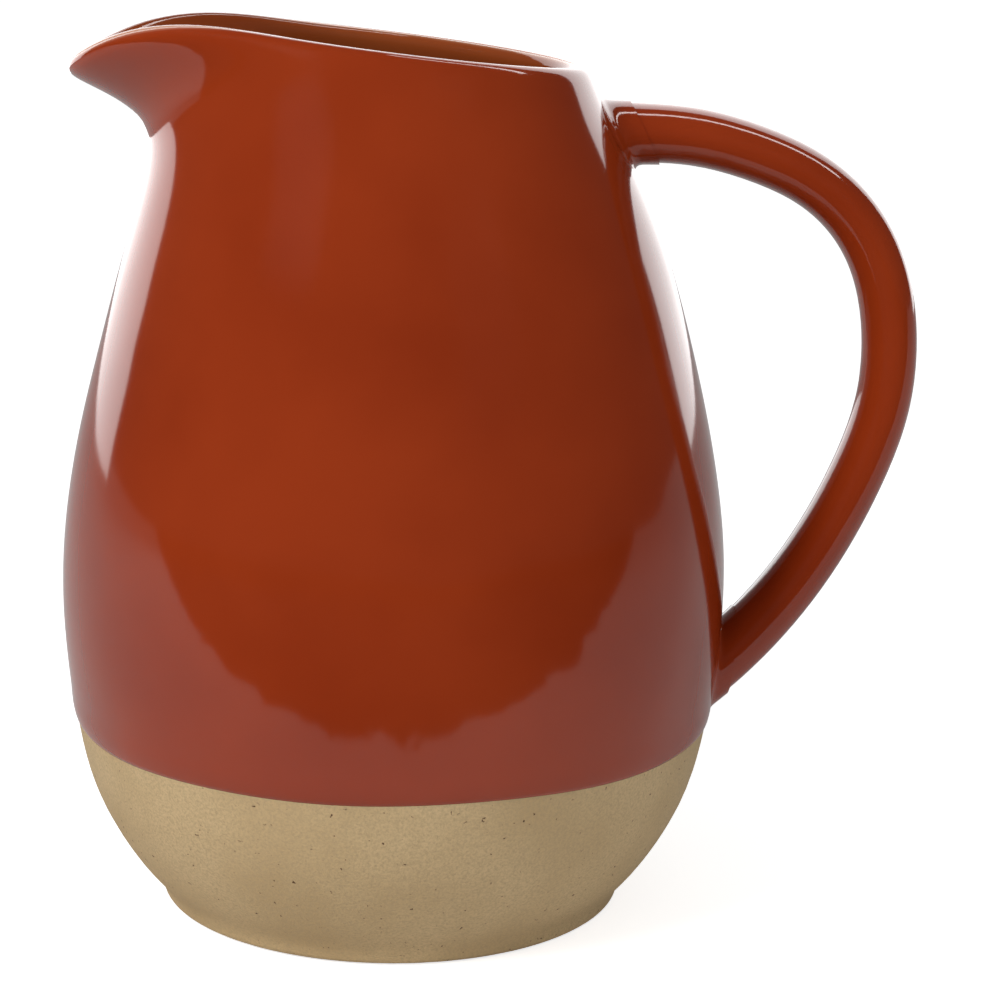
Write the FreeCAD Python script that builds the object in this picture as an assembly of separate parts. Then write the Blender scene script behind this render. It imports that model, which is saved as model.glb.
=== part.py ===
import FreeCAD, Part
import math
import os

# A stoneware pitcher: a thrown, flat-footed body with a pulled spout, a pulled
# strap handle luted on with slip, and glaze over everything but the foot.
# Frame: +Z up, origin at the middle of the resting face of the foot,
# spout towards -X, handle towards +X. Millimetres.

# ---- Body ----
FOOT_RADIUS = 54.0          # edge of the flat resting face
FOOT_ROUNDING = 4.0         # flat face to wall
BELLY_RADIUS = 82.5         # clay, at its widest
BELLY_HEIGHT = 78.8
RIM_RADIUS = 47.5           # outside of the clay just under the lip
RIM_HEIGHT = 208.5          # height there, on the body's axis
WALL = 5.0
FLOOR = 7.0                 # clay under the inside
FLOOR_RADIUS = 28.0         # flat middle of the inside
FLOOR_CURVE = 22.0          # width of the sweep from floor to wall
LIP_RISE = 5.4              # rounded lip above the wall
# shares of the floor's sweep, from the flat floor: (outwards, upwards)
FLOOR_SWEEP = ((1.25, 0.34), (0.6, 0.0))
# shares of the way from foot to belly: (outwards, upwards)
LOWER_WALL = ((0.13, 0.028), (0.22, 0.079), (0.364, 0.131), (0.625, 0.276),
              (0.821, 0.444), (0.936, 0.710), (1.0, 1.0))
# shares of the way from belly to rim: (inwards, upwards)
UPPER_WALL = ((0.046, 0.193), (0.251, 0.436), (0.489, 0.668),
              (0.771, 0.848), (0.931, 0.944), (1.0, 1.0))

# ---- Rim and spout ----
RIM_TILT = 4.4              # the rim is this much higher at the spout side
RIM_SHIFT = 1.0             # and leans this far towards the spout
TILT_START = 0.55           # share of the way from belly to rim where the tilt begins
SPOUT_REACH = 28.0          # how far the wall is pulled out
SPOUT_DROP = 11.5           # and down
SPOUT_SPREAD = 32.0         # degrees either side that the pull reaches
SPOUT_DROP_SPREAD = 17.0    # degrees either side that the drop reaches
# shares of reach and drop at the four highest points of the wall
SPOUT_SHARES = ((0.0, 0.0), (0.11, 0.42), (0.405, 0.85), (1.0, 1.0))

# ---- Handle ----
UPPER_ROOT_DROP = 16.1      # from the rim down to the upper root's middle
BEND_DROP = 53.4            # from there down to where the handle stands out furthest
LOWER_ROOT_RISE = 10.3      # from the glaze line up to the lower root's middle
HAND_GAP = 33.0             # from the belly's side to the inside of the handle
HANDLE_THICK = 12.6         # clay, in the plane of the bend
HANDLE_ROOT_THICK = 14.2
HANDLE_WIDTH = 17.2         # across
HANDLE_ROOT_WIDTH = 19.5
ROOT_SWELL = 3              # power of the swelling towards the roots
# shares from the upper root out to the bend, and from its height down to the bend
UPPER_HANDLE = ((-0.12, -0.004), (0.10, -0.002), (0.30, 0.014), (0.50, 0.082), (0.72, 0.215),
                (0.90, 0.464), (0.985, 0.78))
# shares from the lower root out to the bend, and from its height up to the bend
LOWER_HANDLE = ((0.985, 0.87), (0.845, 0.625), (0.61, 0.377), (0.25, 0.124), (-0.10, -0.045))

# ---- Joints and glaze ----
JOINT_FLARE = 3.2           # radius of the slip fillet round each root
JOINT_LENGTH = 6.5          # from the wall to where the fillet's slip runs out
ROOT_DEPTH = 0.6            # share of the wall that a joint's shape reaches into before it is cut back
JOINT_EDGE = 0.5            # thickness of the fillet where it runs out
GLAZE = 0.45                # thickness of every glaze coat
GLAZE_LINE = 47.2           # height where the outside glaze ends

# ---- Heights that follow from those sizes ----
HANDLE_TOP = RIM_HEIGHT - UPPER_ROOT_DROP
HANDLE_BEND = HANDLE_TOP - BEND_DROP
HANDLE_BOTTOM = GLAZE_LINE + LOWER_ROOT_RISE

# ---- How finely the shapes are drawn ----
COLUMNS = 36                # control points round the body
SECTION_POINTS = 12         # control points round the handle
HANDLE_STATIONS = 30        # sections along the handle
ROOT_STATIONS = 14          # sections along each slip joint
LINE_STEPS = 400            # steps in the search for where the handle leaves the wall
HALVINGS = 50               # steps in the search for a height on the wall
SLOPE_REACH = 1.0           # height above and below a root over which the wall's slope is taken
CUBIC = 3


def gaussian(angle, spread):
    """Weight of 1 at the middle of the spout, falling smoothly to nothing."""
    return math.exp(-((angle / spread) ** 2))


def rise_share(height):
    """0 low on the wall, 1 at the rim: how much of the rim's tilt and shift a height takes."""
    start = BELLY_HEIGHT + TILT_START * (RIM_HEIGHT - BELLY_HEIGHT)
    return max(0.0, (height - start) / (RIM_HEIGHT - start)) ** 2


def outer_outline(angle):
    """Outside of the clay at an angle in degrees from the spout, as (radius, height)."""
    points = [(FOOT_RADIUS, 0.0), (FOOT_RADIUS + FOOT_ROUNDING, 0.0)]
    for out, up in LOWER_WALL:
        radius = FOOT_RADIUS + out * (BELLY_RADIUS - FOOT_RADIUS)
        points.append((radius, up * BELLY_HEIGHT))
    for inward, up in UPPER_WALL:
        radius = BELLY_RADIUS + inward * (RIM_RADIUS - BELLY_RADIUS)
        points.append((radius, BELLY_HEIGHT + up * (RIM_HEIGHT - BELLY_HEIGHT)))
    side = math.cos(math.radians(angle))
    moved = []
    first_pulled = len(points) - len(SPOUT_SHARES)
    for index, (radius, height) in enumerate(points):
        share = rise_share(height)
        radius += RIM_SHIFT * side * share
        height += RIM_TILT * side * share
        if index >= first_pulled:
            reach, drop = SPOUT_SHARES[index - first_pulled]
            radius += SPOUT_REACH * reach * gaussian(angle, SPOUT_SPREAD)
            height -= SPOUT_DROP * drop * gaussian(angle, SPOUT_DROP_SPREAD)
        moved.append((radius, height))
    return moved


def direction(start, end):
    """Unit vector from one (radius, height) point to another."""
    length = math.hypot(end[0] - start[0], end[1] - start[1])
    return ((end[0] - start[0]) / length, (end[1] - start[1]) / length)


def offset(points, distance):
    """The outline moved sideways, to the left of its direction of travel."""
    moved = []
    for index, (radius, height) in enumerate(points):
        before = points[max(index - 1, 0)]
        after = points[min(index + 1, len(points) - 1)]
        along = direction(before, after)
        moved.append((radius - along[1] * distance, height + along[0] * distance))
    return moved


def clay_outline(angle):
    """The whole clay outline: foot, outside, lip, inside, edge of the flat floor."""
    outside = outer_outline(angle)
    inside = offset(outside, WALL)
    along = direction(outside[-2], outside[-1])
    lip = []
    for radius, height in (outside[-1], inside[-1]):
        lip.append((radius + along[0] * LIP_RISE, height + along[1] * LIP_RISE))
    kept = [point for point in inside if point[1] > FLOOR + FLOOR_CURVE]
    floor = [(FLOOR_RADIUS + FLOOR_CURVE * out, FLOOR + FLOOR_CURVE * up) for out, up in FLOOR_SWEEP]
    return outside + lip + kept[::-1] + floor + [(FLOOR_RADIUS, FLOOR)]


def glaze_outline(angle):
    """The clay outline with a coat of glaze on it, level with the clay's floor rows."""
    coated = offset(clay_outline(angle), -GLAZE)
    coated[-1] = (FLOOR_RADIUS, FLOOR + GLAZE)
    coated[-2] = (coated[-2][0], FLOOR + GLAZE)
    return coated


def crest_position():
    """Position along the rows of the lip's crest, halfway between its two control rows."""
    return len(outer_outline(0.0)) - 0.5


def round_net(outline, columns):
    """Control points round the body's axis, column by column, from an outline function."""
    closed_up = (2 + math.cos(2 * math.pi / columns)) / 3
    net = []
    for column in range(columns):
        turn = 2 * math.pi * column / columns
        angle = math.degrees(turn)
        angle = min(angle, 360 - angle)
        row = []
        for radius, height in outline(angle):
            reach = radius / closed_up
            row.append(FreeCAD.Vector(-reach * math.cos(turn), reach * math.sin(turn), height))
        net.append(row)
    return net


def net_surface(net):
    """Cubic surface on a net that closes on itself one way and is clamped the other way."""
    columns = len(net)
    rows = len(net[0])
    spans = rows - CUBIC
    surface = Part.BSplineSurface()
    surface.buildFromPolesMultsKnots(
        net,
        [1] * (columns + 1),
        [CUBIC + 1] + [1] * (spans - 1) + [CUBIC + 1],
        list(range(columns + 1)),
        list(range(spans + 1)),
        True, False, CUBIC, CUBIC)
    return surface


def strip(surface, start, end):
    """Face of a surface between two positions along its rows."""
    part = surface.copy()
    around = part.bounds()
    part.segment(around[0], around[1], start, end)
    return part.toShape()


def disc(surface, position):
    """Flat face that closes a surface at one of its rings."""
    ring = surface.vIso(position).toShape()
    return Part.Face(Part.Wire([ring]))


def band(inner, outer, position):
    """Ruled face between the same ring of two surfaces."""
    return Part.makeRuledSurface(inner.vIso(position).toShape(), outer.vIso(position).toShape())


def solid_of(faces):
    """One solid from faces that meet edge to edge."""
    shell = Part.makeShell(faces)
    shell.sewShape()
    if shell.ShapeType == "Compound":
        shell = shell.Shells[0]
    solid = Part.Solid(shell)
    if solid.Volume < 0:
        solid.reverse()
    return solid


def position_at_height(surface, column, height):
    """Position along the rows where the outside of the wall reaches a height, at a column."""
    low = 1.0
    high = crest_position()
    for _ in range(HALVINGS):
        middle = (low + high) / 2
        if surface.value(column, middle).z < height:
            low = middle
        else:
            high = middle
    return middle


def wall_radius(clay, height):
    """Radius of the outside of the clay on the handle side at a height."""
    column = COLUMNS / 2.0
    return clay.value(column, position_at_height(clay, column, height)).x


def handle_line(clay):
    """Middle line of the handle, from inside the upper wall to inside the lower wall."""
    upper = wall_radius(clay, HANDLE_TOP)
    lower = wall_radius(clay, HANDLE_BOTTOM)
    furthest = BELLY_RADIUS + HAND_GAP + HANDLE_THICK / 2
    points = []
    for out, down in UPPER_HANDLE:
        points.append((upper + out * (furthest - upper),
                       HANDLE_TOP - down * (HANDLE_TOP - HANDLE_BEND)))
    points.append((furthest, HANDLE_BEND))
    for out, up in LOWER_HANDLE:
        points.append((lower + out * (furthest - lower),
                       HANDLE_BOTTOM + up * (HANDLE_BEND - HANDLE_BOTTOM)))
    line = Part.BSplineCurve()
    line.interpolate([FreeCAD.Vector(x, 0, z) for x, z in points])
    return line


def section_sizes(share):
    """Half thickness and half width of the handle at a share of its length."""
    flare = abs(2 * share - 1) ** ROOT_SWELL
    thick = HANDLE_THICK + flare * (HANDLE_ROOT_THICK - HANDLE_THICK)
    width = HANDLE_WIDTH + flare * (HANDLE_ROOT_WIDTH - HANDLE_WIDTH)
    return thick / 2, width / 2


def point_on(line, share):
    """Point and direction of a line at a share of its length."""
    position = line.FirstParameter + share * (line.LastParameter - line.FirstParameter)
    return line.value(position), line.tangent(position)[0]


def oval_tube(line, stations, grow, slant=0.0):
    """Solid tube along the handle's line at some shares of it, fatter by grow(share).

    Sections are square to the line, or slanted by a tangent so that they lie along the wall.
    """
    closed_up = (2 + math.cos(2 * math.pi / SECTION_POINTS)) / 3
    rows = []
    for share in stations:
        here, ahead = point_on(line, share)
        sideways = FreeCAD.Vector(ahead.z, 0, -ahead.x)
        thick, width = section_sizes(share)
        thick = (thick + grow(share)) / closed_up
        width = (width + grow(share)) / closed_up
        row = []
        for index in range(SECTION_POINTS):
            turn = 2 * math.pi * index / SECTION_POINTS
            off = thick * math.cos(turn)
            row.append(here + sideways * off + ahead * (off * slant)
                       + FreeCAD.Vector(0, width * math.sin(turn), 0))
        rows.append(row)
    net = [[row[index] for row in rows] for index in range(SECTION_POINTS)]
    surface = net_surface(net)
    last = len(stations) - CUBIC
    return solid_of([strip(surface, 0, last), disc(surface, 0), disc(surface, last)])


def spread_evenly(start, end, count):
    """Evenly spaced numbers from start to end."""
    return [start + (end - start) * index / (count - 1) for index in range(count)]


def outermost(shape):
    """The solid of a cut that stands out furthest on the handle's side of the wall."""
    return max(shape.Solids, key=lambda solid: solid.CenterOfMass.x)


def largest(shape):
    """The largest solid of a cut."""
    return max(shape.Solids, key=lambda solid: solid.Volume)


def fillet(away):
    """Thickness of a slip joint at a distance from the wall."""
    if away >= JOINT_FLARE:
        return JOINT_EDGE
    short = JOINT_FLARE - max(away, 0.0)
    return JOINT_EDGE + JOINT_FLARE - math.sqrt(JOINT_FLARE ** 2 - short ** 2)


def wall_crossing(clay, line, height, order):
    """Share of the handle's line where its middle comes out of the wall, and the wall's slant there."""
    radius = wall_radius(clay, height)
    for index in order:
        share = index / LINE_STEPS
        here, ahead = point_on(line, share)
        if here.x > radius:
            break
    above = wall_radius(clay, height + SLOPE_REACH)
    below = wall_radius(clay, height - SLOPE_REACH)
    along = FreeCAD.Vector(above - below, 0, 2 * SLOPE_REACH)
    sideways = FreeCAD.Vector(ahead.z, 0, -ahead.x)
    return share, along.dot(ahead) / along.dot(sideways)


def make_body(clay):
    """The thrown body and its coats: clay wall, outside glaze and inside glaze."""
    coat = net_surface(round_net(glaze_outline, COLUMNS))
    crest = crest_position()
    end = clay.bounds()[3]
    glaze_from = position_at_height(clay, 0.0, GLAZE_LINE)
    wall = solid_of([disc(clay, 0.0), strip(clay, 0.0, end), disc(clay, end)])
    outside = solid_of([strip(clay, glaze_from, crest), strip(coat, glaze_from, crest),
                        band(clay, coat, glaze_from), band(clay, coat, crest)])
    inside = solid_of([strip(clay, crest, end), strip(coat, crest, end),
                       band(clay, coat, crest), disc(clay, end), disc(coat, end)])
    return wall, outside, inside


def root_tubes(clay, line, height, at_start):
    """Tubes for one root of the handle: the slip joint, and the joint under its glaze."""
    length = line.length()
    order = range(LINE_STEPS + 1) if at_start else range(LINE_STEPS, -1, -1)
    root, slant = wall_crossing(clay, line, height, order)
    side = 1.0 if at_start else -1.0
    depth = ROOT_DEPTH * WALL * math.hypot(1.0, slant)
    near = root - side * depth / length
    tubes = []
    for coat in (0.0, GLAZE):
        far = root + side * (JOINT_LENGTH + 2 * coat) / length
        stations = spread_evenly(min(near, far), max(near, far), ROOT_STATIONS)
        tubes.append(oval_tube(line, stations,
                               lambda share: coat + fillet(side * (share - root) * length), slant))
    return tubes


def make_handle(clay, wall, outside):
    """The handle, its two slip joints, its glaze, and the body's glaze cut to meet it."""
    line = handle_line(clay)
    whole = spread_evenly(0.0, 1.0, HANDLE_STATIONS)
    core = oval_tube(line, whole, lambda share: 0.0)
    glazed_core = oval_tube(line, whole, lambda share: GLAZE)
    upper, glazed_upper = root_tubes(clay, line, HANDLE_TOP, True)
    lower, glazed_lower = root_tubes(clay, line, HANDLE_BOTTOM, False)
    handle = outermost(core.cut(wall))
    upper_joint = outermost(upper.cut(core).cut(wall))
    lower_joint = outermost(lower.cut(core).cut(wall))
    bare = core.fuse([upper, lower])
    glazed = glazed_core.fuse([glazed_upper, glazed_lower])
    handle_coat = outermost(glazed.cut(bare).cut(wall))
    outside = largest(outside.cut(glazed))
    return handle, upper_joint, lower_joint, handle_coat, outside


def main():
    """Build every piece and write one STEP file for each."""
    os.makedirs("parts", exist_ok=True)
    clay = net_surface(round_net(clay_outline, COLUMNS))
    wall, outside, inside = make_body(clay)
    handle, upper_joint, lower_joint, handle_coat, outside = make_handle(clay, wall, outside)
    pieces = {
        "stoneware_body": wall,
        "pulled_handle": handle,
        "upper_slip_joint": upper_joint,
        "lower_slip_joint": lower_joint,
        "outside_glaze": outside,
        "inside_glaze": inside,
        "handle_glaze": handle_coat,
    }
    for name, shape in pieces.items():
        shape.exportStep("parts/" + name + ".step")
        box = shape.BoundBox
        print(name, shape.isValid(), len(shape.Solids), round(shape.Volume, 1),
              [round(size, 1) for size in (box.XMin, box.XMax, box.YMin, box.YMax, box.ZMin, box.ZMax)])


main()
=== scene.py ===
"""Looks of the stoneware pitcher, built round its packed clay and glaze solids."""

import logging
import math
from dataclasses import dataclass, field
from enum import Enum

import bmesh
import bpy
from mathutils import Matrix, Vector


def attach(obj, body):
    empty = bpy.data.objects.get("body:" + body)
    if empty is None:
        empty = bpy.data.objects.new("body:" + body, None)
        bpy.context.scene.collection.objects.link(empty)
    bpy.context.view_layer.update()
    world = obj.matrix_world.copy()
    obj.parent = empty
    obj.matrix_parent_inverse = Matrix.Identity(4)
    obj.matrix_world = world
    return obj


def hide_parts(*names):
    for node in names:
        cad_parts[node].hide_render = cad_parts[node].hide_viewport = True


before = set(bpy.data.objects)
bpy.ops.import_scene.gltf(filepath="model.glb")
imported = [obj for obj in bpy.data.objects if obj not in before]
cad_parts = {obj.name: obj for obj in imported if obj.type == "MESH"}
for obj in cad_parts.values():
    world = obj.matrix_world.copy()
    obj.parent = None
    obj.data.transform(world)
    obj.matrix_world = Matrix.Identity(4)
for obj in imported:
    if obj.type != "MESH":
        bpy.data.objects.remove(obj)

LOG = logging.getLogger("pitcher")
MM = 0.001
CUBIC = 3

Colour = tuple[float, float, float]
Tone = Colour | bpy.types.NodeSocket
Outline = list[tuple[float, float]]


class Slot(Enum):
    """Material slots of the record, one for each glaze coat; nothing reads them."""

    OUTSIDE = "outside_glaze"
    INSIDE = "inside_glaze"


class Side(Enum):
    """The side of the clay wall that a coat of glaze lies on."""

    OUTER = "outer"
    INNER = "inner"


def shown(red: int, green: int, blue: int) -> Colour:
    """Turn an 8-bit display colour into the linear colour that a shader takes.

    Args:
        red: Red, 0 to 255.
        green: Green, 0 to 255.
        blue: Blue, 0 to 255.

    Returns:
        The linear colour.
    """
    parts = []
    for value in (red, green, blue):
        share = value / 255
        parts.append(share / 12.92 if share <= 0.04045 else ((share + 0.055) / 1.055) ** 2.4)
    return (parts[0], parts[1], parts[2])


# ---------------------------------------------------------------- finishes


def new_group(name: str, inputs: dict[str, float], outputs: dict[str, str]) -> bpy.types.NodeTree:
    """Make an empty shader node group with named sockets.

    Args:
        name: Name of the group.
        inputs: Float inputs and their starting values.
        outputs: Outputs and their socket types.

    Returns:
        The node group.
    """
    group = bpy.data.node_groups.new(name, "ShaderNodeTree")
    for label, value in inputs.items():
        socket = group.interface.new_socket(name=label, in_out="INPUT", socket_type="NodeSocketFloat")
        socket.default_value = value
    for label, kind in outputs.items():
        group.interface.new_socket(name=label, in_out="OUTPUT", socket_type=kind)
    return group


def noise(tree: bpy.types.NodeTree, scale: float, detail: float, roughness: float) -> bpy.types.Node:
    """Add a noise texture on Object coordinates.

    Args:
        tree: Node tree that takes it.
        scale: Cycles per metre.
        detail: Octaves.
        roughness: Strength of each finer octave.

    Returns:
        The noise node.
    """
    place = tree.nodes.new("ShaderNodeTexCoord")
    node = tree.nodes.new("ShaderNodeTexNoise")
    node.inputs["Scale"].default_value = scale
    node.inputs["Detail"].default_value = detail
    node.inputs["Roughness"].default_value = roughness
    tree.links.new(place.outputs["Object"], node.inputs["Vector"])
    return node


def remap(tree: bpy.types.NodeTree, source: bpy.types.NodeSocket, low: float,
          high: float) -> bpy.types.NodeSocket:
    """Stretch a value so that low becomes 0 and high becomes 1, clamped.

    Args:
        tree: Node tree that takes the node.
        source: The value's socket.
        low: Value that becomes 0.
        high: Value that becomes 1.

    Returns:
        The stretched value's socket.
    """
    node = tree.nodes.new("ShaderNodeMapRange")
    node.inputs["From Min"].default_value = low
    node.inputs["From Max"].default_value = high
    tree.links.new(source, node.inputs["Value"])
    return node.outputs["Result"]


def mix(tree: bpy.types.NodeTree, mask: bpy.types.NodeSocket, under: Tone,
        over: Tone) -> bpy.types.NodeSocket:
    """Mix two colours by a mask.

    Args:
        tree: Node tree that takes the node.
        mask: 0 for the first colour, 1 for the second.
        under: A colour or a socket.
        over: A colour or a socket.

    Returns:
        The mixed colour's socket.
    """
    node = tree.nodes.new("ShaderNodeMix")
    node.data_type = "RGBA"
    tree.links.new(mask, node.inputs["Factor"])
    for label, value in (("A", under), ("B", over)):
        socket = [s for s in node.inputs if s.name == label and s.type == "RGBA"][0]
        if isinstance(value, tuple):
            socket.default_value = (*value, 1.0)
        else:
            tree.links.new(value, socket)
    return [s for s in node.outputs if s.type == "RGBA"][0]


def firing_clouds() -> bpy.types.NodeTree:
    """Build the group that both glazes and the clay share: soft clouds and fine specks from the kiln.

    Returns:
        The node group, built once.
    """
    name = "firing_clouds"
    if name in bpy.data.node_groups:
        return bpy.data.node_groups[name]
    group = new_group(name, {"Cloud Scale": 22.0, "Speck Scale": 420.0},
                      {"Clouds": "NodeSocketFloat", "Specks": "NodeSocketFloat"})
    come_in = group.nodes.new("NodeGroupInput")
    go_out = group.nodes.new("NodeGroupOutput")
    clouds = noise(group, 22.0, 3.0, 0.5)
    specks = noise(group, 420.0, 2.0, 0.6)
    group.links.new(come_in.outputs["Cloud Scale"], clouds.inputs["Scale"])
    group.links.new(come_in.outputs["Speck Scale"], specks.inputs["Scale"])
    group.links.new(remap(group, clouds.outputs["Fac"], 0.35, 0.65), go_out.inputs["Clouds"])
    group.links.new(remap(group, specks.outputs["Fac"], 0.69, 0.75), go_out.inputs["Specks"])
    return group


def place_clouds(tree: bpy.types.NodeTree, cloud_scale: float, speck_scale: float) -> bpy.types.Node:
    """Put the shared firing group into a material with its own scales.

    Args:
        tree: Node tree of the material.
        cloud_scale: Clouds per metre.
        speck_scale: Specks per metre.

    Returns:
        The group's node.
    """
    node = tree.nodes.new("ShaderNodeGroup")
    node.node_tree = firing_clouds()
    node.inputs["Cloud Scale"].default_value = cloud_scale
    node.inputs["Speck Scale"].default_value = speck_scale
    return node


def bump(tree: bpy.types.NodeTree, height: bpy.types.NodeSocket, distance: float,
         strength: float) -> bpy.types.Node:
    """Add a bump node on a height.

    Args:
        tree: Node tree that takes it.
        height: Height socket, 0 to 1.
        distance: Depth in metres.
        strength: Share of the effect.

    Returns:
        The bump node.
    """
    node = tree.nodes.new("ShaderNodeBump")
    node.inputs["Distance"].default_value = distance
    node.inputs["Strength"].default_value = strength
    tree.links.new(height, node.inputs["Height"])
    return node


@dataclass(frozen=True)
class GlazeFinish:
    """A glossy fired glaze, paler along the lip's crest: partly glaze breaking thin there, partly a painted
    highlight.
    """

    name: str
    deep: Colour
    light: Colour
    lip_pale_and_highlight: Colour
    cloud_scale: float = 17.0
    speck_scale: float = 520.0
    roughness: float = 0.09
    ripple: float = 0.00035
    ripple_scale: float = 34.0

    def build(self) -> bpy.types.Material:
        """Make the material.

        Returns:
            The glaze material.
        """
        material = bpy.data.materials.new(self.name)
        material.use_nodes = True
        tree = material.node_tree
        shader = tree.nodes["Principled BSDF"]
        firing = place_clouds(tree, self.cloud_scale, self.speck_scale)
        tone = mix(tree, firing.outputs["Clouds"], self.deep, self.light)
        lip = tree.nodes.new("ShaderNodeAttribute")
        lip.attribute_name = "near_lip"
        # Pale tone along the lip's crest: partly glaze breaking thin, partly a painted highlight on the
        # crest.
        tone = mix(tree, lip.outputs["Fac"], tone, self.lip_pale_and_highlight)
        tree.links.new(tone, shader.inputs["Base Color"])
        shader.inputs["Roughness"].default_value = self.roughness
        shader.inputs["IOR"].default_value = 1.5
        ripples = noise(tree, self.ripple_scale, 1.0, 0.4)
        relief = bump(tree, ripples.outputs["Fac"], self.ripple, 1.0)
        tree.links.new(relief.outputs["Normal"], shader.inputs["Normal"])
        return material


@dataclass(frozen=True)
class ClayFinish:
    """Unglazed sandy stoneware with fine grain and small iron specks."""

    name: str
    sand: Colour
    shade: Colour
    iron: Colour
    cloud_scale: float = 30.0
    speck_scale: float = 640.0
    grain_scale: float = 1500.0
    grain_shade: float = 0.72
    grain_depth: float = 0.00025
    roughness: float = 0.86

    def build(self) -> bpy.types.Material:
        """Make the material.

        Returns:
            The bare clay material.
        """
        material = bpy.data.materials.new(self.name)
        material.use_nodes = True
        tree = material.node_tree
        shader = tree.nodes["Principled BSDF"]
        firing = place_clouds(tree, self.cloud_scale, self.speck_scale)
        tone = mix(tree, firing.outputs["Clouds"], self.shade, self.sand)
        grain = noise(tree, self.grain_scale, 3.0, 0.7)
        grain_mask = remap(tree, grain.outputs["Fac"], 0.30, 0.62)
        tone = mix(tree, grain_mask, tuple(part * self.grain_shade for part in self.sand), tone)
        tone = mix(tree, firing.outputs["Specks"], tone, self.iron)
        tree.links.new(tone, shader.inputs["Base Color"])
        shader.inputs["Roughness"].default_value = self.roughness
        relief = bump(tree, grain.outputs["Fac"], self.grain_depth, 0.7)
        tree.links.new(relief.outputs["Normal"], shader.inputs["Normal"])
        return material


# ---------------------------------------------------------------- the wall


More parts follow.
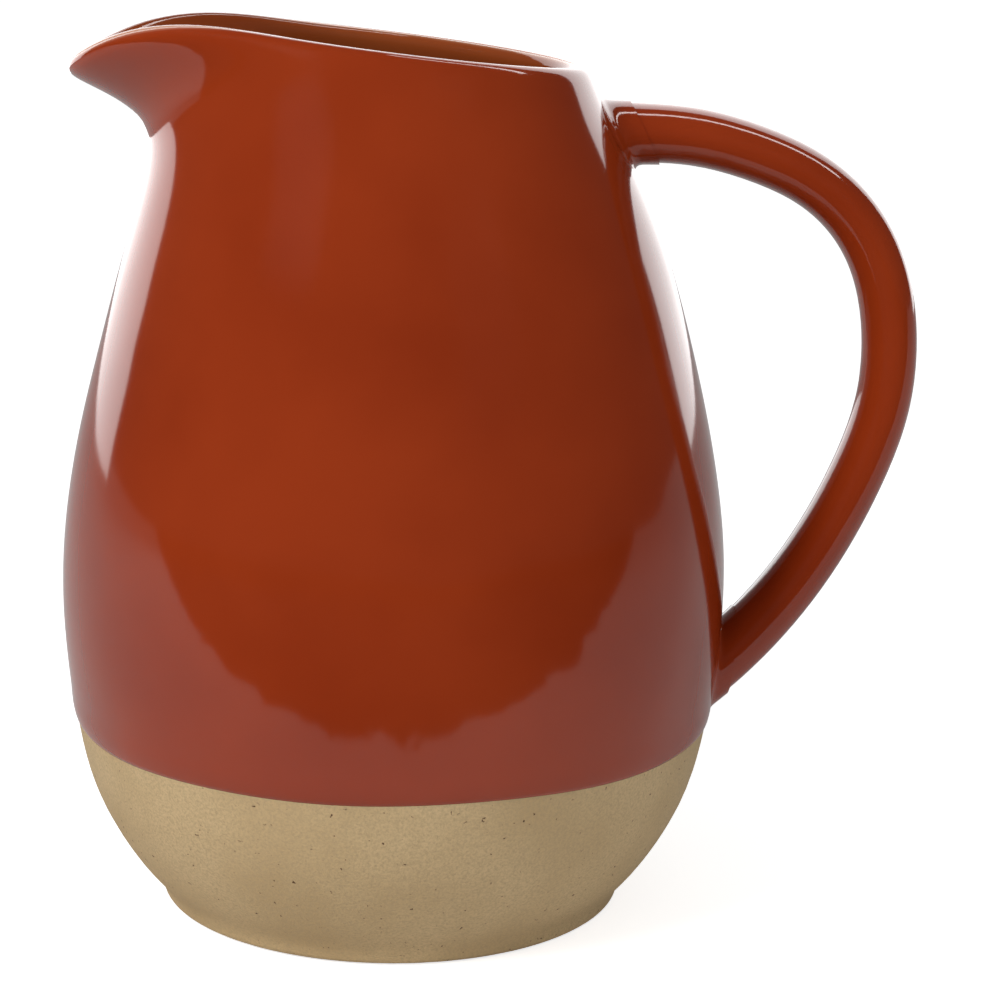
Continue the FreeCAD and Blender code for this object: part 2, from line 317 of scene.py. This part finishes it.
@dataclass
class ThrownWall:
    """The thrown wall as a control net, in metres: the same sizes as the clay."""

    foot_radius: float = 54.0 * MM
    foot_rounding: float = 4.0 * MM
    belly_radius: float = 82.5 * MM
    belly_height: float = 78.8 * MM
    rim_radius: float = 47.5 * MM
    rim_height: float = 208.5 * MM
    wall: float = 5.0 * MM
    floor: float = 7.0 * MM
    floor_radius: float = 28.0 * MM
    floor_curve: float = 22.0 * MM
    lip_rise: float = 5.4 * MM
    rim_tilt: float = 4.4 * MM
    rim_shift: float = 1.0 * MM
    tilt_start: float = 0.55
    spout_reach: float = 28.0 * MM
    spout_drop: float = 11.5 * MM
    spout_spread: float = 32.0
    spout_drop_spread: float = 17.0
    columns: int = 36
    lower_wall: tuple = ((0.13, 0.028), (0.22, 0.079), (0.364, 0.131), (0.625, 0.276),
                         (0.821, 0.444), (0.936, 0.710), (1.0, 1.0))
    upper_wall: tuple = ((0.046, 0.193), (0.251, 0.436), (0.489, 0.668),
                         (0.771, 0.848), (0.931, 0.944), (1.0, 1.0))
    spout_shares: tuple = ((0.0, 0.0), (0.11, 0.42), (0.405, 0.85), (1.0, 1.0))
    floor_sweep: tuple = ((1.25, 0.34), (0.6, 0.0))
    net: list = field(default_factory=list)

    def __post_init__(self) -> None:
        """Lay out the control net once, column by column."""
        closed_up = (2 + math.cos(2 * math.pi / self.columns)) / 3
        for column in range(self.columns):
            turn = 2 * math.pi * column / self.columns
            angle = math.degrees(turn)
            row = []
            for radius, height in self.clay_outline(min(angle, 360 - angle)):
                reach = radius / closed_up
                row.append(Vector((-reach * math.cos(turn), reach * math.sin(turn), height)))
            self.net.append(row)

    def outside_outline(self, angle: float) -> Outline:
        """Outside of the wall at an angle in degrees from the spout.

        Args:
            angle: Degrees from the middle of the spout.

        Returns:
            Points of (radius, height), from the foot up.
        """
        points = [(self.foot_radius, 0.0), (self.foot_radius + self.foot_rounding, 0.0)]
        for out, up in self.lower_wall:
            points.append((self.foot_radius + out * (self.belly_radius - self.foot_radius),
                           up * self.belly_height))
        for inward, up in self.upper_wall:
            points.append((self.belly_radius + inward * (self.rim_radius - self.belly_radius),
                           self.belly_height + up * (self.rim_height - self.belly_height)))
        side = math.cos(math.radians(angle))
        reach_weight = math.exp(-((angle / self.spout_spread) ** 2))
        drop_weight = math.exp(-((angle / self.spout_drop_spread) ** 2))
        start = self.belly_height + self.tilt_start * (self.rim_height - self.belly_height)
        first_pulled = len(points) - len(self.spout_shares)
        moved = []
        for index, (radius, height) in enumerate(points):
            share = max(0.0, (height - start) / (self.rim_height - start)) ** 2
            radius += self.rim_shift * side * share
            height += self.rim_tilt * side * share
            if index >= first_pulled:
                reach, drop = self.spout_shares[index - first_pulled]
                radius += self.spout_reach * reach * reach_weight
                height -= self.spout_drop * drop * drop_weight
            moved.append((radius, height))
        return moved

    def clay_outline(self, angle: float) -> Outline:
        """The whole clay outline, from the foot over the lip to the inside's floor.

        Args:
            angle: Degrees from the middle of the spout.

        Returns:
            Points of (radius, height).
        """
        outside = self.outside_outline(angle)
        inside = []
        for index, (radius, height) in enumerate(outside):
            before = outside[max(index - 1, 0)]
            after = outside[min(index + 1, len(outside) - 1)]
            length = math.hypot(after[0] - before[0], after[1] - before[1])
            inside.append((radius - (after[1] - before[1]) / length * self.wall,
                           height + (after[0] - before[0]) / length * self.wall))
        length = math.hypot(outside[-1][0] - outside[-2][0], outside[-1][1] - outside[-2][1])
        lean = (outside[-1][0] - outside[-2][0]) / length * self.lip_rise
        rise = (outside[-1][1] - outside[-2][1]) / length * self.lip_rise
        lip = [(radius + lean, height + rise) for radius, height in (outside[-1], inside[-1])]
        kept = [point for point in inside if point[1] > self.floor + self.floor_curve]
        sweep = [(self.floor_radius + self.floor_curve * out, self.floor + self.floor_curve * up)
                 for out, up in self.floor_sweep]
        return outside + lip + kept[::-1] + sweep + [(self.floor_radius, self.floor)]

    def crest(self) -> float:
        """Row position of the lip's crest."""
        return len(self.outside_outline(0.0)) - 0.5

    def last(self) -> float:
        """Row position of the edge of the inside's flat floor."""
        return float(len(self.net[0]) - CUBIC)

    def row_weights(self, position: float) -> tuple[int, list[float]]:
        """Weights of the four control rows that shape the wall at a position.

        Args:
            position: Position along the rows.

        Returns:
            The first row's index and the four weights.
        """
        spans = len(self.net[0]) - CUBIC
        knots = [0.0] * CUBIC + [float(step) for step in range(spans + 1)] + [float(spans)] * CUBIC
        span = min(int(position), spans - 1) + CUBIC
        weights = [1.0]
        for order in range(1, CUBIC + 1):
            grown = [0.0] * (order + 1)
            for index in range(order):
                right = knots[span + index + 1]
                left = knots[span + index + 1 - order]
                part = weights[index] / (right - left)
                grown[index] += (right - position) * part
                grown[index + 1] += (position - left) * part
            weights = grown
        return span - CUBIC, weights

    def point(self, turn: float, position: float) -> Vector:
        """A point of the clay's surface.

        Args:
            turn: Radians round the axis from the middle of the spout.
            position: Position along the rows.

        Returns:
            The point, in metres.
        """
        around = (turn / (2 * math.pi) * self.columns) % self.columns
        column = int(around)
        t = around - column
        column_weights = ((1 - t) ** 3 / 6, (3 * t ** 3 - 6 * t ** 2 + 4) / 6,
                          (-3 * t ** 3 + 3 * t ** 2 + 3 * t + 1) / 6, t ** 3 / 6)
        first_row, row_weights = self.row_weights(position)
        total = Vector((0.0, 0.0, 0.0))
        for across, column_weight in enumerate(column_weights):
            strip = self.net[(column - 1 + across) % self.columns]
            for along, row_weight in enumerate(row_weights):
                total += strip[first_row + along] * (column_weight * row_weight)
        return total

    def outward(self, turn: float, position: float) -> Vector:
        """Unit normal of the clay's surface, pointing out of the clay.

        Args:
            turn: Radians round the axis from the middle of the spout.
            position: Position along the rows.

        Returns:
            The unit normal.
        """
        step = 0.01
        low = max(position - step, 0.0)
        high = min(position + step, self.last())
        along = self.point(turn, high) - self.point(turn, low)
        around = self.point(turn + step, position) - self.point(turn - step, position)
        return along.cross(around).normalized()

    def position_at_height(self, turn: float, height: float) -> float:
        """Row position where the outside of the wall reaches a height.

        Args:
            turn: Radians round the axis from the middle of the spout.
            height: Height in metres.

        Returns:
            The position along the rows.
        """
        low, high = 1.0, self.crest()
        for _ in range(30):
            middle = (low + high) / 2
            if self.point(turn, middle).z < height:
                low = middle
            else:
                high = middle
        return middle


@dataclass
class GlazeCoat:
    """A coat of glaze on one side of the thrown wall, as one closed skin."""

    name: str
    wall: ThrownWall
    side: Side
    slot: Slot
    replaces: str
    thickness: float = 0.43 * MM
    tall_wave: float = 95.0
    long_wave: float = 40.0
    fine_wave: float = 160.0
    fine_share: float = 0.5
    edge_share: float = 0.012
    bead_place: float = 0.02
    bead_width: float = 0.014
    crowding: float = 1.6
    lip_thinning: float = 0.45
    lip_reach: float = 0.6
    bead: float = 0.18 * MM
    line_height: float = 47.2 * MM
    line_waver: float = 0.5 * MM
    waver: float = 0.07 * MM
    around: int = 180
    stations: int = 96
    pale_reach: float = 0.16

    def span(self, turn: float) -> tuple[float, float]:
        """Row positions where the coat starts and ends at a turn.

        Args:
            turn: Radians from the middle of the spout.

        Returns:
            The start and the end position.
        """
        if self.side is Side.INNER:
            return self.wall.crest(), self.wall.last()
        waver = self.line_waver * (math.sin(3 * turn + 0.7) + 0.6 * math.sin(7 * turn + 2.1)) / 1.6
        return self.wall.position_at_height(turn, self.line_height + waver), self.wall.crest()

    def coat_at(self, turn: float, share: float, position: float, point: Vector) -> float:
        """Thickness of the coat: even, with slow waves, and a rounded bead where the glaze line is.

        Args:
            turn: Radians from the middle of the spout.
            share: Share of the way from the coat's start to its end.
            position: Position along the wall's rows; the coat thins towards the lip's crest.
            point: The clay point under it.

        Returns:
            The thickness in metres.
        """
        waves = math.sin(point.z * self.tall_wave + 2 * turn) * math.sin(3 * turn + point.z * self.long_wave)
        waves += self.fine_share * math.sin(point.z * self.fine_wave - 4 * turn + 1.0)
        middle = max(0.0, math.sin(math.pi * share)) ** 0.5
        coat = self.thickness + self.waver * (waves / (1.0 + self.fine_share) - 1.0) * middle
        from_crest = (position - self.wall.crest()) / self.lip_reach
        coat *= 1.0 - self.lip_thinning * math.exp(-from_crest ** 2)
        if self.side is Side.OUTER:
            edge = min(1.0, share / self.edge_share)
            rounded = coat * math.sqrt(max(0.0, 1 - (1 - edge) ** 2))
            swelling = self.bead * math.exp(-((share - self.bead_place) / self.bead_width) ** 2)
            coat = (rounded + swelling) * min(1.0, edge * 4)
        return max(coat, 0.0)

    def build(self) -> bpy.types.Object:
        """Spin a profile of stations round the axis and lay it on the wall.

        Returns:
            The finished skin.
        """
        mesh = bmesh.new()
        station = mesh.verts.layers.int.new("station")
        near_lip = mesh.verts.layers.float.new("near_lip")
        profile = []
        for index in range(2 * self.stations):
            vertex = mesh.verts.new((-0.05, 0.0, index * MM))
            vertex[station] = index
            profile.append(vertex)
        edges = [mesh.edges.new((profile[-1], profile[0]))]
        for index, pair in enumerate(zip(profile, profile[1:])):
            if self.side is Side.OUTER or index != self.stations - 1:
                edges.append(mesh.edges.new(pair))
        bmesh.ops.spin(mesh, geom=profile + edges, cent=(0, 0, 0), axis=(0, 0, 1), dvec=(0, 0, 0),
                       angle=2 * math.pi, steps=self.around, use_merge=True, use_normal_flip=False,
                       use_duplicate=False)
        spans: dict[int, tuple[float, float]] = {}
        for vertex in mesh.verts:
            turn = math.atan2(vertex.co.y, -vertex.co.x)
            key = round(turn / (2 * math.pi) * self.around) % self.around
            if key not in spans:
                spans[key] = self.span(turn)
            index = vertex[station]
            on_glaze = index < self.stations
            step = index if on_glaze else 2 * self.stations - 1 - index
            self.lay(vertex, near_lip, turn, spans[key], step / (self.stations - 1), on_glaze)
        bmesh.ops.holes_fill(mesh, edges=[edge for edge in mesh.edges if edge.is_boundary], sides=0)
        bmesh.ops.remove_doubles(mesh, verts=mesh.verts, dist=1e-7)
        bmesh.ops.recalc_face_normals(mesh, faces=mesh.faces)
        for face in mesh.faces:
            face.smooth = True
        data = bpy.data.meshes.new(self.name)
        mesh.to_mesh(data)
        mesh.free()
        piece = bpy.data.objects.new(self.name, data)
        bpy.context.scene.collection.objects.link(piece)
        return piece

    def lay(self, vertex: bmesh.types.BMVert, near_lip: object, turn: float, span: tuple,
            share: float, on_glaze: bool) -> None:
        """Move one vertex of the spun profile onto the clay or onto the glaze over it.

        Args:
            vertex: The vertex.
            near_lip: Layer that says how near the lip's crest a vertex is.
            turn: Radians from the middle of the spout.
            span: Row positions where the coat starts and ends.
            share: Share of the way from start to end.
            on_glaze: True for the glaze's own face, False for the side on the clay.
        """
        eased = share ** self.crowding if self.side is Side.OUTER else share
        position = span[0] + eased * (span[1] - span[0])
        point = self.wall.point(turn, position)
        if on_glaze:
            point = point + self.wall.outward(turn, position) * self.coat_at(turn, eased, position, point)
        vertex.co = point
        # near_lip masks the pale lip tone: glaze breaking thin at the crest, with a painted highlight there.
        vertex[near_lip] = math.exp(-((position - self.wall.crest()) / self.pale_reach) ** 2)

    def dress(self, material: bpy.types.Material) -> bpy.types.Object:
        """Build the coat, give it its glaze and put it in place of its solid.

        Args:
            material: The glaze.

        Returns:
            The coat.
        """
        piece = self.build()
        piece.data.materials.append(material)
        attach(piece, "root")
        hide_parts(self.replaces)
        LOG.info("%s: %d faces", self.name, len(piece.data.polygons))
        return piece


@dataclass
class ClayPieces:
    """The clay solids and the handle's coat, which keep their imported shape.

    clay, slip and glaze are the finishes that they take.
    """

    clay: bpy.types.Material
    slip: bpy.types.Material
    glaze: bpy.types.Material

    def dress(self) -> None:
        """Give each kept solid its finish."""
        finishes = {"stoneware_body": self.clay, "pulled_handle": self.clay,
                    "upper_slip_joint": self.slip,
                    "lower_slip_joint": self.slip, "handle_glaze": self.glaze}
        for node, finish in finishes.items():
            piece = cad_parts[node]
            piece.data.materials.clear()
            piece.data.materials.append(finish)
            LOG.info("%s dressed", node)


# ---------------------------------------------------------------- studio


@dataclass
class Studio:
    """Floor, lamps, reflecting cards and camera. None of it is part of the pitcher."""

    eye: Vector = field(default_factory=lambda: Vector((0.0, -0.660, 0.2513)))
    pitch: float = 12.71
    yaw: float = 2.08
    roll: float = 1.20
    lens: float = 99.10
    floor_size: float = 14.0
    sheet_edge: float = -0.157

    def build(self) -> None:
        """Put up the whole studio."""
        self.set_world()
        self.lay_floor()
        self.card("card_behind", (-0.39, 1.5, 1.2), (4.62, 2.4), Vector((0.0, -1.0, 0.0)), 2.6)
        self.card("card_above", (0.482, 0.14, 1.084), (0.9, 0.11), Vector((-0.5, 0.0, -1.0)), 9.0)
        self.lamp("key_lamp", (-0.95, -0.85, 1.05), 0.6, 15.0)
        self.lamp("fill_lamp", (0.8, -1.1, 0.8), 0.6, 3.0)
        self.place_camera()
        bpy.context.scene.view_settings.view_transform = "Standard"

    def set_world(self) -> None:
        """White to the camera, a dim room to everything else."""
        world = bpy.data.worlds.new("studio_world")
        bpy.context.scene.world = world
        world.use_nodes = True
        tree = world.node_tree
        background = tree.nodes["Background"]
        path = tree.nodes.new("ShaderNodeLightPath")
        tone = mix(tree, path.outputs["Is Glossy Ray"], (0.42, 0.42, 0.42), (0.05, 0.05, 0.05))
        tone = mix(tree, path.outputs["Is Camera Ray"], tone, (1.0, 1.0, 1.0))
        tree.links.new(tone, background.inputs["Color"])

    def lay_floor(self) -> None:
        """Lay a plain pale floor that keeps the pitcher's shadow."""
        mesh = bmesh.new()
        bmesh.ops.create_grid(mesh, x_segments=1, y_segments=1, size=self.floor_size)
        data = bpy.data.meshes.new("studio_floor")
        mesh.to_mesh(data)
        mesh.free()
        floor = bpy.data.objects.new("studio_floor", data)
        bpy.context.scene.collection.objects.link(floor)
        material = bpy.data.materials.new("floor_paper")
        material.use_nodes = True
        tree = material.node_tree
        shader = tree.nodes["Principled BSDF"]
        shader.inputs["Roughness"].default_value = 0.95
        shader.inputs["Specular IOR Level"].default_value = 0.0
        path = tree.nodes.new("ShaderNodeLightPath")
        place = tree.nodes.new("ShaderNodeTexCoord")
        split = tree.nodes.new("ShaderNodeSeparateXYZ")
        tree.links.new(place.outputs["Object"], split.inputs["Vector"])
        uneven = noise(tree, 14.0, 3.0, 0.6)
        edge = tree.nodes.new("ShaderNodeMath")
        edge.operation = "MULTIPLY_ADD"
        tree.links.new(uneven.outputs["Fac"], edge.inputs[0])
        edge.inputs[1].default_value = 0.09
        tree.links.new(split.outputs["Y"], edge.inputs[2])
        far_front = remap(tree, edge.outputs["Value"], self.sheet_edge, self.sheet_edge - 0.004)
        hidden = tree.nodes.new("ShaderNodeMath")
        hidden.operation = "MULTIPLY"
        tree.links.new(far_front, hidden.inputs[0])
        tree.links.new(path.outputs["Is Glossy Ray"], hidden.inputs[1])
        tone = mix(tree, hidden.outputs["Value"], (0.78, 0.78, 0.78), (0.03, 0.03, 0.03))
        tree.links.new(tone, shader.inputs["Base Color"])
        tree.links.new(path.outputs["Is Camera Ray"], shader.inputs["Emission Strength"])
        shader.inputs["Emission Color"].default_value = (0.70, 0.70, 0.70, 1.0)
        data.materials.append(material)

    def card(self, name: str, place: tuple, size: tuple, facing: Vector, strength: float) -> None:
        """Stand a glowing card that only reflections see.

        Args:
            name: Name of the card.
            place: Its middle, in metres.
            size: Width and height, in metres.
            facing: Direction that it faces.
            strength: How bright it is; 1 is white.
        """
        mesh = bmesh.new()
        bmesh.ops.create_grid(mesh, x_segments=1, y_segments=1, size=0.5)
        bmesh.ops.scale(mesh, vec=(size[0], size[1], 1.0), verts=mesh.verts)
        turn = Vector((0.0, 0.0, 1.0)).rotation_difference(facing).to_matrix().to_4x4()
        bmesh.ops.transform(mesh, matrix=Matrix.Translation(place) @ turn, verts=mesh.verts)
        data = bpy.data.meshes.new(name)
        mesh.to_mesh(data)
        mesh.free()
        card = bpy.data.objects.new(name, data)
        bpy.context.scene.collection.objects.link(card)
        card.visible_camera = False
        card.visible_shadow = False
        card.visible_diffuse = False
        material = bpy.data.materials.new(name + "_glow")
        material.use_nodes = True
        shader = material.node_tree.nodes["Principled BSDF"]
        shader.inputs["Base Color"].default_value = (0.0, 0.0, 0.0, 1.0)
        shader.inputs["Emission Color"].default_value = (1.0, 1.0, 1.0, 1.0)
        shader.inputs["Emission Strength"].default_value = strength
        data.materials.append(material)

    def lamp(self, name: str, place: tuple, size: float, power: float) -> None:
        """Hang a soft square lamp that looks at the pitcher.

        Args:
            name: Name of the lamp.
            place: Where it hangs, in metres.
            size: Side of the square, in metres.
            power: Watts.
        """
        light = bpy.data.lights.new(name, "AREA")
        light.size = size
        light.energy = power
        lamp = bpy.data.objects.new(name, light)
        lamp.location = place
        lamp.visible_glossy = False
        aim = Vector((0.0, 0.0, 0.11)) - Vector(place)
        lamp.rotation_euler = aim.to_track_quat("-Z", "Y").to_euler()
        bpy.context.scene.collection.objects.link(lamp)

    def place_camera(self) -> None:
        """Stand the camera in front of the pitcher and a little above it."""
        pitch, yaw, roll = (math.radians(value) for value in (self.pitch, self.yaw, self.roll))
        ahead = Vector((math.sin(yaw) * math.cos(pitch), math.cos(yaw) * math.cos(pitch), -math.sin(pitch)))
        right = Vector((math.cos(yaw), -math.sin(yaw), 0.0))
        up = right.cross(ahead)
        leaning_right = right * math.cos(roll) + up * math.sin(roll)
        leaning_up = up * math.cos(roll) - right * math.sin(roll)
        turned = Matrix((leaning_right, leaning_up, -ahead)).transposed().to_4x4()
        lens = bpy.data.cameras.new("camera")
        lens.lens = self.lens
        camera = bpy.data.objects.new("camera", lens)
        camera.matrix_world = Matrix.Translation(self.eye) @ turned
        bpy.context.scene.collection.objects.link(camera)
        bpy.context.scene.camera = camera


def main() -> None:
    """Build every piece of the pitcher and its studio."""
    logging.basicConfig(level=logging.INFO, format="%(name)s: %(message)s")
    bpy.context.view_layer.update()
    # The third colour of each glaze is the pale lip tone, partly a painted highlight on the crest.
    outside = GlazeFinish("brick_red_glaze", shown(134, 44, 13), shown(145, 51, 18),
                          shown(200, 140, 116)).build()
    inside = GlazeFinish("amber_liner_glaze", shown(122, 52, 20), shown(148, 72, 34),
                         shown(196, 138, 106)).build()
    clay = ClayFinish("bare_stoneware", shown(204, 177, 134), shown(188, 160, 117), shown(84, 54, 32)).build()
    slip = ClayFinish("luting_slip", shown(176, 150, 108), shown(158, 130, 90), shown(84, 54, 32)).build()
    wall = ThrownWall()
    GlazeCoat("outside_coat", wall, Side.OUTER, Slot.OUTSIDE, "outside_glaze").dress(outside)
    GlazeCoat("inside_coat", wall, Side.INNER, Slot.INSIDE, "inside_glaze").dress(inside)
    ClayPieces(clay, slip, outside).dress()
    Studio().build()


if __name__ == "__main__":
    main()
